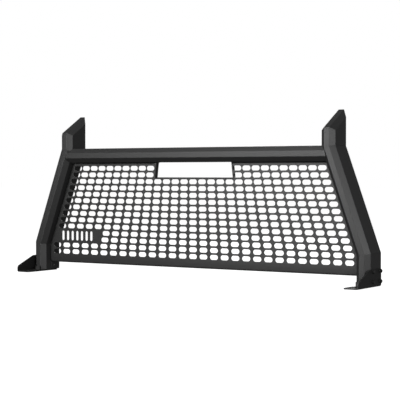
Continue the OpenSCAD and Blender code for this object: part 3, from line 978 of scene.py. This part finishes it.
def vent_bars():
    """The upright bars in the plain field."""
    middle = -(panel().side_slots - (panel().bar_slots - 1) / 2) * column_pitch(panel().bar_row)
    first = middle - (panel().bars - 1) / 2 * panel().bar_pitch
    obj = slot_loop("bars", first, row_z(panel().bar_row + 0.5), panel().bar_width, panel().bar_height)
    return apply_modifier(obj, "ARRAY", count=panel().bars, use_relative_offset=False,
                          use_constant_offset=True, constant_offset_displace=(panel().bar_pitch, 0, 0))


def face_corners():
    """Right half of the face's outline, from the lower edge to the window's sill, short of the bends."""
    r = panel().bend
    lean = r / math.cos(RAKE)
    bottom, top, sill = panel().lower_edge + r, UNDER_BAR - r, window_sill() - r
    return [(LEG_IN_X - r, bottom), (LEG_IN_X - r, IN_KNEE_Z - r * math.tan(RAKE / 2)),
            (rake_in_x(top) - lean, top), (window_x(top) + r, top), (window_x(sill) + r, sill)]


def bend_back(obj, test, outwards, depth, segments=5):
    """Bends a flange back from the face's edges that pass a test: an arc, then a straight run."""
    if not pick(obj, "EDGE", lambda p, n: abs(p.y - SHEET_LOW.y) < HAIR and test(p, n)):
        raise RuntimeError("no edge to bend")
    r = panel().bend
    out = Vector(outwards).normalized()
    for step in range(segments):
        a, b = (math.pi / 2 * i / segments for i in (step, step + 1))
        pull(*(out * r * (math.sin(b) - math.sin(a)) + Vector((0, r * (math.cos(a) - math.cos(b)), 0))))
    pull(0, depth - r, 0)
    put_down()


class RACK_OT_panel(bpy.types.Operator):
    """Makes the slotted sheet with its bent flanges"""

    bl_idname = "rack.panel"
    bl_label = "Slotted Panel"

    def execute(self, context):
        right = face_corners()
        loop = right + [(-x, z) for x, z in reversed(right)]
        obj = draw("face", [(x, SHEET_LOW.y, z) for x, z in loop], fill=False)
        everything(obj)
        bpy.ops.mesh.bevel(offset=panel().relief, offset_type="OFFSET", segments=1, affect="VERTICES")
        put_down()
        obj = join("slotted_sheet", [obj, *slot_rows(), vent_bars()])
        everything(obj)
        bpy.ops.mesh.fill(use_beauty=True)
        bpy.ops.mesh.select_all(action="SELECT")
        bpy.ops.mesh.normals_make_consistent(inside=False)
        put_down()
        self.bend_flanges(obj)
        facing = sum(face.normal.y * face.area for face in obj.data.polygons
                     if abs(face.center.y - SHEET_LOW.y) < HAIR)
        if facing > 0:
            everything(obj)
            bpy.ops.mesh.flip_normals()
            put_down()
        apply_modifier(obj, "SOLIDIFY", thickness=panel().sheet, offset=-1, use_even_offset=True)
        right = rake_screws() + leg_screws()
        left = [(Vector((-p.x, p.y, p.z)), Vector((-n.x, n.y, n.z))) for p, n in right]
        drill(obj, right + left + top_screws(), screwing().screw + screwing().gap, panel().sheet * 2)
        take(obj)
        bpy.ops.object.shade_smooth_by_angle(angle=math.radians(48))
        apply_modifier(obj, "BEVEL", width=panel().rim, segments=2, limit_method="ANGLE",
                       angle_limit=math.radians(50), use_clamp_overlap=True, loop_slide=False,
                       harden_normals=True)
        hand_over(obj, "panel_coat", "slotted_panel")
        return {"FINISHED"}

    def bend_flanges(self, obj):
        """Bends the lower edge and the top back, then the window's sill, the sides and its two ends."""
        r = panel().bend
        bottom, top, sill = panel().lower_edge + r, UNDER_BAR - r, window_sill() - r
        bend_back(obj, lambda p, n: abs(p.z - bottom) < HAIR and abs(n.x) > 0.99,
                  (0, 0, -1), panel().edge_flange)
        bend_back(obj, lambda p, n: abs(p.z - top) < HAIR and abs(n.x) > 0.99,
                  (0, 0, 1), panel().side_flange)
        bend_back(obj, lambda p, n: abs(p.z - sill) < HAIR and abs(n.x) > 0.99 and abs(p.x) < MM,
                  (0, 0, 1), panel().edge_flange)
        for s in (1, -1):
            self.bend_side(obj, s)
            self.bend_window_end(obj, s, top, sill)
            self.run_tab_down(obj, s)

    def bend_side(self, obj, s):
        """Bends one side's flange back, beside the leg and beside the raked tube."""
        r = panel().bend
        lean = Vector((s * math.cos(RAKE), 0, math.sin(RAKE)))
        bend_back(obj, lambda p, n: abs(p.x - s * (LEG_IN_X - r)) < HAIR and abs(n.z) > 0.99,
                  (s, 0, 0), panel().side_flange)
        bend_back(obj, lambda p, n: p.z > IN_KNEE_Z and s * p.x > rake_in_x(p.z) - 2 * r
                  and abs(abs(n.z) - math.cos(RAKE)) < 0.01, lean, panel().side_flange)

    def bend_window_end(self, obj, s, top, sill):
        """Bends the flange at one end of the window back, and runs it on up."""
        r = panel().bend
        edge = Vector((window_x(top) - window_x(sill), 0, top - sill)).normalized()
        bend_back(obj, lambda p, n: sill < p.z < top and abs(s * p.x - window_x(p.z) - r) < 2 * MM
                  and abs(abs(n.z) - edge.z) < 0.001, (-s * edge.z, 0, edge.x), panel().edge_flange)
        self.run_window_up(obj, s, Vector((s * edge.x, 0, edge.z)))

    def run_window_up(self, obj, s, edge):
        """Runs the window's side flange on up to the crossbar."""
        top = UNDER_BAR - panel().bend
        pick(obj, "EDGE", lambda p, n: p.y > SHEET_LOW.y + HAIR and abs(n.dot(edge)) < 0.05
             and top - 5 * MM < p.z < UNDER_BAR - 2 * MM
             and abs(s * p.x - window_x(p.z)) < panel().bend + MM)
        ends = [obj.data.vertices[i].co.z for e in obj.data.edges if e.select for i in e.vertices]
        if not ends:
            raise RuntimeError("the window's flange has no upper end")
        pull(*(edge * ((UNDER_BAR - max(ends)) / edge.z)))
        put_down()

    def run_tab_down(self, obj, s):
        """Runs the side flange on below the face, as a tab beside the leg."""
        y0 = SHEET_LOW.y + panel().bend
        count = pick(obj, "EDGE", lambda p, n: abs(p.x - s * LEG_IN_X) < HAIR and p.y > y0 + MM
                     and p.z < panel().lower_edge + 3 * panel().bend and abs(n.y) > 0.99)
        if not count:
            raise RuntimeError("the side flange has no lower edge")
        lowest = min(v.co.z for v in obj.data.vertices if abs(v.co.x - s * LEG_IN_X) < HAIR)
        pull(0, 0, SHEET_LOW.z - lowest)
        put_down()


# ---- Brackets ----


def bolt_spots():
    """The right bracket's bolts: each one's place on the outer face, and the way out."""
    half = fixing().washer / 2
    return [(Vector((WASHER_LOW.x, y, z)), ACROSS) for y in (WASHER_LOW.y + half, WASHER_HIGH.y - half)
            for z in (WASHER_LOW.z + half, WASHER_HIGH.z - half)]


class RACK_OT_brackets(bpy.types.Operator):
    """Makes the bent brackets with their bolt holes"""

    bl_idname = "rack.brackets"
    bl_label = "Brackets"

    def execute(self, context):
        t, y0, y1 = fixing().plate, BRACKET_LOW.y, BRACKET_HIGH.y
        x0, x1, top = BRACKET_LOW.x, BRACKET_HIGH.x, BRACKET_HIGH.z
        profile = [(x0, 0), (x1, 0), (x1, top), (x1 - t, top), (x1 - t, t), (x0, t)]
        obj = draw("bracket", [(x, y0, z) for x, z in profile])
        round_corners(obj, fixing().bend + t, 8, lambda p, n: p.x > x1 - HAIR and p.z < HAIR)
        inside = Vector((x1 - t, y0, t))
        round_corners(obj, fixing().bend, 8, lambda p, n: (p - inside).length < HAIR)
        thicken(obj, 0, y1 - y0, 0)
        nose, brow = Vector((x1, y0, fixing().nose)), Vector((x1, FRONT + fixing().brow, top))
        slope = (brow - nose).normalized()
        cut(obj, nose, (0, -slope.z, slope.y), close=True)
        round_edge(obj, nose, ACROSS, fixing().nose_round, slope.angle(UP))
        round_edge(obj, brow, ACROSS, fixing().brow_round, math.pi / 2 - slope.angle(UP))
        round_edge(obj, Vector((x1, y1, top)), ACROSS, fixing().rear_round, math.pi / 2)
        round_edge(obj, Vector((x0, y0, 0)), UP, fixing().flange_round, math.pi / 2)
        round_edge(obj, Vector((x0, y1, 0)), UP, fixing().flange_round, math.pi / 2)
        drill(obj, bolt_spots(), fixing().bolt + fixing().gap, BOLT_DEPTH, 32)
        pattern = MOUNTS["rail_bolt_holes"]
        nut_x, nut_y, _ = MOUNTS["right_rail_nut_thread"]["pos_m"]
        half_pitch = pattern["dims"]["spacing_y_mm"] * MM / 2
        middle = pattern["pos_m"][1]
        holes = [(Vector((nut_x, y, 0)), UP) for y in (middle - half_pitch, middle + half_pitch, nut_y)]
        drill(obj, holes, pattern["dims"]["hole_r_mm"] * 2 * MM, t + MM, 40)
        both_sides(ease_edges(obj, fixing().edge, 2, 40), "bed_bracket", "bracket_coat", "bracket")
        return {"FINISHED"}


# ---- Fasteners ----


def turned(name, profile, place, axis, sides=32):
    """Spins a profile of (radius, height) points round an axis into a closed body."""
    obj = draw(name, [(r, 0, h) for r, h in profile], fill=False)
    everything(obj)
    bpy.ops.mesh.spin(steps=sides, angle=2 * math.pi, center=(0, 0, 0), axis=(0, 0, 1))
    bpy.ops.mesh.select_all(action="SELECT")
    bpy.ops.mesh.remove_doubles(threshold=HAIR)
    bpy.ops.mesh.normals_make_consistent(inside=False)
    put_down()
    return stand(obj, place, axis)


def stand(obj, place, axis):
    """Stands a body made along Z on a place, along an axis."""
    take(obj)
    obj.rotation_euler = Vector(axis).to_track_quat("Z", "X").to_euler()
    obj.location = place
    settle()
    return obj


def hexagon(name, flats, height, place, axis, bottom=False):
    """A hexagonal head whose corners are turned off at 30 degrees, on top or at both ends."""
    put_down()
    radius, land = flats / math.sqrt(3), flats / 2 * 0.94
    bpy.ops.mesh.primitive_cylinder_add(vertices=6, radius=radius, depth=height,
                                        location=(0, 0, height / 2), rotation=(0, 0, math.pi / 6))
    obj = settle(name)
    wide = radius * 1.2
    slope = (wide - land) * math.tan(math.pi / 6)
    foot = [(0, 0), (land, 0), (wide, slope)] if bottom else [(0, -MM), (wide, -MM)]
    crown = [(wide, height - slope), (land, height), (0, height)]
    carve(obj, turned("lathe", foot + crown, ORIGIN, UP, 48), "INTERSECT")
    return stand(obj, place, axis)


def threaded(name, diameter, pitch, length, place, axis, sides=20):
    """A threaded shank: a closed ridge screwed round a core."""
    core, crest = diameter / 2 - pitch * 0.6, diameter / 2
    root = core - pitch * 0.2
    turns = max(1, int(length / pitch) - 1)
    profile = [(root, 0.05), (core, 0.1), (crest, 0.44), (crest, 0.56), (core, 0.9), (root, 0.95)]
    ridge = draw(name, [(radius, 0, pitch * share) for radius, share in profile], fill=False)
    apply_modifier(ridge, "SCREW", angle=2 * math.pi * turns, screw_offset=pitch * turns,
                   steps=sides * turns, render_steps=sides * turns, axis="Z")
    pick_rims(ridge)
    bpy.ops.mesh.fill_holes(sides=0)
    put_down()
    recalculate(ridge)
    heart = rod(name + "_core", ORIGIN, UP, core + HAIR * 2, pitch * (turns + 1), sides)
    return stand(join(name, [ridge, heart]), place, axis)


class RACK_OT_bracket_bolts(bpy.types.Operator):
    """Makes the bracket bolts and their washers"""

    bl_idname = "rack.bracket_bolts"
    bl_label = "Bracket Bolts"

    def execute(self, context):
        d, pitch = fixing().bolt, fixing().thread
        head_height = BOLT_HIGH.x - WASHER_HIGH.x
        washer_height = WASHER_HIGH.x - WASHER_LOW.x
        plain_run = (WASHER_HIGH.x - BOLT_LOW.x) * 0.45
        thread_run = (WASHER_HIGH.x - BOLT_LOW.x) * 0.55
        bore, rim = d / 2 + 0.25 * MM, fixing().washer / 2
        bolts, washers = [], []
        for place, axis in bolt_spots():
            face = place + axis * washer_height
            end = face - axis * (plain_run + thread_run)
            head = hexagon("head", fixing().bolt_flats, head_height, face, axis)
            ease_edges(head, 0.25 * MM, 1, 25)
            plain = rod("plain", face - axis * plain_run, axis, d / 2, plain_run + MM, 24)
            thread = threaded("thread", d, pitch, thread_run + pitch, end, axis, 16)
            bolts.append(join("bolt", [head, plain, thread]))
            ring = [(bore, 0), (rim, 0), (rim, washer_height), (bore, washer_height)]
            washers.append(ease_edges(turned("washer", ring, place, axis, 36), 0.3 * MM, 2, 40))
        bolt_set = join("bolts", bolts)
        both_sides(even_shade(bolt_set, 35), "bolt_set", "bolt_steel", "bracket_bolts", 35)
        both_sides(join("washers", washers), "washer_set", "bolt_steel", "bracket_washers")
        return {"FINISHED"}


class RACK_OT_rail_nuts(bpy.types.Operator):
    """Makes the tall nuts that stand on the flanges"""

    bl_idname = "rack.rail_nuts"
    bl_label = "Rail Nuts"

    def execute(self, context):
        mount = MOUNTS["right_rail_nut_thread"]
        bore, pitch = mount["dims"]["r_mm"] * MM, fixing().nut_thread
        flats = min(NUT_HIGH.x - NUT_LOW.x, NUT_HIGH.y - NUT_LOW.y)
        height = NUT_HIGH.z - NUT_LOW.z
        obj = hexagon("nut", flats, height, ORIGIN, UP, bottom=True)
        carve(obj, rod("drill", (0, 0, -MM), UP, bore, height + 2 * MM, 32))
        mouth_low, mouth_high, mouth_rim = height - 0.9 * MM, height + 0.3 * MM, bore + 1.2 * MM
        mouth = [(0, mouth_low), (bore, mouth_low), (mouth_rim, mouth_high), (0, mouth_high)]
        carve(obj, turned("mouth", mouth, ORIGIN, UP, 32))
        ease_edges(obj, 0.25 * MM, 1, 25)
        root, crest, rise = bore + 0.05 * MM, bore - 0.55 * MM, pitch * 0.4
        rings = [turned("ridge", [(root, z - rise), (crest, z), (root, z + rise)], ORIGIN, UP, 32)
                 for z in [pitch * (i + 1) for i in range(int((height - pitch) / pitch))]]
        obj = join("nut", [obj, *rings])
        stand(obj, (mount["pos_m"][0], mount["pos_m"][1], NUT_LOW.z), UP)
        both_sides(even_shade(obj, 35), "tall_nut", "bolt_steel", "rail_nut", 35)
        return {"FINISHED"}


class RACK_OT_foot_caps(bpy.types.Operator):
    """Makes the plastic caps under the legs"""

    bl_idname = "rack.foot_caps"
    bl_label = "Foot Caps"

    def execute(self, context):
        gap, wall = 0.8 * MM, 2 * MM
        obj = draw("cap", octagon(Vector((FOOT_X, FRONT, CAP_LOW.z)), ACROSS))
        round_corners(obj, tube().corner, 3)
        everything(obj)
        bpy.ops.mesh.inset(thickness=CAP_LOW.y - FRONT, use_even_offset=True)
        bpy.ops.mesh.select_mode(type="FACE")
        bpy.ops.mesh.select_all(action="INVERT")
        bpy.ops.mesh.delete(type="FACE")
        everything(obj)
        pull(0, 0, LEG_LOW.z - CAP_LOW.z)
        put_down()
        pick(obj, "FACE", lambda p, n: p.z > LEG_LOW.z - HAIR)
        bpy.ops.mesh.inset(thickness=gap, use_even_offset=True)
        pull(0, 0, CAP_HIGH.z - LEG_LOW.z)
        bpy.ops.mesh.inset(thickness=wall, use_even_offset=True)
        pull(0, 0, LEG_LOW.z - CAP_HIGH.z)
        put_down()
        recalculate(obj)
        both_sides(ease_edges(obj, 0.4 * MM, 2, 40), "foot", "cap_plastic", "foot_cap")
        return {"FINISHED"}


def button_screw():
    """A button head screw with a hexagonal socket, standing on the tube's face."""
    sizes = screwing()
    rim, shank, point = sizes.head / 2, sizes.screw / 2, 0.6 * MM
    seat = -panel().sheet
    top, end = seat - sizes.head_height, sizes.rivet_length + sizes.end
    dome = [(rim * math.cos(a), seat - sizes.head_height * (0.15 + 0.85 * math.sin(a)))
            for a in (math.radians(degrees) for degrees in (62, 46, 30, 15, 0))]
    body = [(rim, seat), (shank, seat), (shank, end - point), (shank - point, end), (0, end)]
    obj = turned("screw", [(0, top), *dome, *body], ORIGIN, UP, 24)
    bpy.ops.mesh.primitive_cylinder_add(vertices=6, radius=sizes.socket / math.sqrt(3), depth=4 * MM,
                                        location=(0, 0, top))
    carve(obj, settle("socket"))
    return ease_edges(obj, 0.12 * MM, 1, 40)


def rivet_nut():
    """A rivet nut with its bulge behind the tube's wall."""
    sizes, wall = screwing(), tube().wall
    bore, barrel, bulge, end = sizes.screw / 2, sizes.rivet / 2, sizes.bulge / 2, sizes.rivet_length
    fold_end = wall + sizes.bulge_height
    profile = [(bore, 0), (barrel, 0), (barrel, wall), (bulge - 0.5 * MM, wall),
               (bulge, wall + 0.6 * MM), (bulge, fold_end - 1.2 * MM), (barrel, fold_end),
               (barrel, end - 0.4 * MM), (barrel - 0.4 * MM, end), (bore, end)]
    return turned("rivet", profile, ORIGIN, UP, 24)


class RACK_OT_panel_screws(bpy.types.Operator):
    """Makes the button head screws of the panel and the rivet nuts that hold them"""

    bl_idname = "rack.panel_screws"
    bl_label = "Panel Screws"

    def execute(self, context):
        rows = ((button_screw(), "screw_row", "screw_steel", "panel_screws"),
                (rivet_nut(), "rivet_nut_row", "zinc_steel", "rivet_nuts"))
        for pattern, name, finish_name, node in rows:
            side = join("side", [copy_at(pattern, *spot) for spot in rake_screws() + leg_screws()])
            top_row = join("top_" + name, [copy_at(pattern, *spot) for spot in top_screws()])
            both_sides(even_shade(side, 35), name, finish_name, node, 35)
            hand_over(even_shade(top_row, 35), finish_name, "top_" + node)
            bpy.data.objects.remove(pattern)
        return {"FINISHED"}


class RACK_OT_nut_plates(bpy.types.Operator):
    """Makes the tapped plates inside the legs"""

    bl_idname = "rack.nut_plates"
    bl_label = "Nut Plates"

    def execute(self, context):
        put_down()
        bpy.ops.mesh.primitive_cube_add(size=1, location=(PLATE_LOW + PLATE_HIGH) / 2)
        context.object.scale = PLATE_HIGH - PLATE_LOW
        plate = settle("plate")
        drill(plate, bolt_spots(), fixing().bolt + 0.1 * MM, BOLT_DEPTH)
        both_sides(ease_edges(plate, 0.5 * MM, 2, 40), "tapped_plate", "zinc_steel", "nut_plate")
        return {"FINISHED"}


# ---- Stage ----

# Each light's side, place, width and height; its power is the stage's value of that name
LIGHTS = (
    ("key", (-0.9, -3.0, 0.95), 2.0, 1.5),
    ("right", (2.9, -1.9, 0.9), 1.4, 1.6),
    ("top", (0.0, -1.2, 2.8), 3.0, 1.8),
    ("back", (-1.1, 3.2, 1.5), 1.2, 1.1),
)
LIT_POINT = Vector((0, 0, 0.4))


class RACK_OT_stage(bpy.types.Operator):
    """Makes the camera, the floor and the lights"""

    bl_idname = "rack.stage"
    bl_label = "Stage"

    def execute(self, context):
        stage = context.scene.rack_stage
        put_down()
        turn = (math.pi / 2 + stage.camera_tilt, 0, stage.camera_turn)
        bpy.ops.object.camera_add(location=stage.camera_place, rotation=turn)
        camera = context.object
        camera.name = "camera"
        camera.data.lens = stage.lens
        context.scene.camera = camera
        self.floor(stage)
        self.lights(context, stage)
        return {"FINISHED"}

    def floor(self, stage):
        """A wide pale floor with a faint mottle."""
        bpy.ops.mesh.primitive_plane_add(size=60, location=(0, 0, CAD_BOX[0].z - HAIR))
        floor = settle("floor")
        material, tree, shader, add, place = node_sheet("floor_paint")
        cloud = add("ShaderNodeTexNoise", {"Vector": place, "Scale": 3.0, "Detail": 4.0})
        tone = ramp(add, cloud.outputs["Fac"], stage.floor_colour, (0.985, 1.0))
        tree.links.new(tone, shader.inputs["Emission Color"])
        shader.inputs["Base Color"].default_value = shade_of(stage.floor_colour, 0.2)
        shader.inputs["Emission Strength"].default_value = stage.floor_glow
        shader.inputs["Roughness"].default_value = 0.9
        shader.inputs["Specular IOR Level"].default_value = 0.1
        floor.data.materials.append(material)
        floor.visible_diffuse = False
        floor.visible_glossy = False

    def lights(self, context, stage):
        """A dim even sky, large soft lights in front, above and behind, and a white backdrop."""
        world = bpy.data.worlds.new("sky")
        context.scene.world = world
        world.use_nodes = True
        tree = world.node_tree
        sky = tree.nodes["Background"]
        sky.inputs["Color"].default_value = (1, 1, 1, 1)
        sky.inputs["Strength"].default_value = stage.sky
        backdrop = tree.nodes.new("ShaderNodeBackground")
        backdrop.inputs["Color"].default_value = (1, 1, 1, 1)
        backdrop.inputs["Strength"].default_value = stage.backdrop
        seen = tree.nodes.new("ShaderNodeLightPath")
        either = tree.nodes.new("ShaderNodeMixShader")
        tree.links.new(seen.outputs["Is Camera Ray"], either.inputs["Fac"])
        tree.links.new(sky.outputs["Background"], either.inputs[1])
        tree.links.new(backdrop.outputs["Background"], either.inputs[2])
        tree.links.new(either.outputs["Shader"], tree.nodes["World Output"].inputs["Surface"])
        context.scene.view_settings.view_transform = "Standard"
        for side, place, wide, high in LIGHTS:
            aim = (LIT_POINT - Vector(place)).to_track_quat("-Z", "Y").to_euler()
            bpy.ops.object.light_add(type="AREA", location=place, rotation=aim)
            light = context.object
            light.name = side + "_light"
            light.data.shape = "RECTANGLE"
            light.data.size = wide
            light.data.size_y = high
            light.data.energy = getattr(stage, side)


# ---- Add-on ----

STEPS = (
    "stage",
    "uprights",
    "tip_covers",
    "crossbar",
    "panel",
    "brackets",
    "bracket_bolts",
    "rail_nuts",
    "foot_caps",
    "panel_screws",
    "nut_plates",
)


class RACK_PT_maker(bpy.types.Panel):
    """Lists the rack's pieces in the order of making"""

    bl_idname = "RACK_PT_maker"
    bl_label = "Headache Rack"
    bl_space_type = "VIEW_3D"
    bl_region_type = "UI"
    bl_category = "Rack"

    def draw(self, context):
        for name, group in GROUPS.items():
            box = self.layout.box()
            box.label(text=group.__doc__)
            for field in group.__annotations__:
                box.prop(getattr(context.scene, name), field)
        for step in STEPS:
            self.layout.operator("rack." + step)


CLASSES = (
    *GROUPS.values(),
    RACK_OT_stage,
    RACK_OT_uprights,
    RACK_OT_tip_covers,
    RACK_OT_crossbar,
    RACK_OT_panel,
    RACK_OT_brackets,
    RACK_OT_bracket_bolts,
    RACK_OT_rail_nuts,
    RACK_OT_foot_caps,
    RACK_OT_panel_screws,
    RACK_OT_nut_plates,
    RACK_PT_maker,
)


def register():
    """Registers the classes and hangs the sizes on the scene."""
    for cls in CLASSES:
        bpy.utils.register_class(cls)
    for name, group in GROUPS.items():
        setattr(bpy.types.Scene, name, PointerProperty(type=group))


def unregister():
    """Takes everything away again."""
    for name in GROUPS:
        delattr(bpy.types.Scene, name)
    for cls in reversed(CLASSES):
        bpy.utils.unregister_class(cls)


def main():
    """Registers the add-on and makes every piece in order."""
    register()
    for step in STEPS:
        getattr(bpy.ops.rack, step)()
    put_down()


if __name__ == "__main__":
    main()
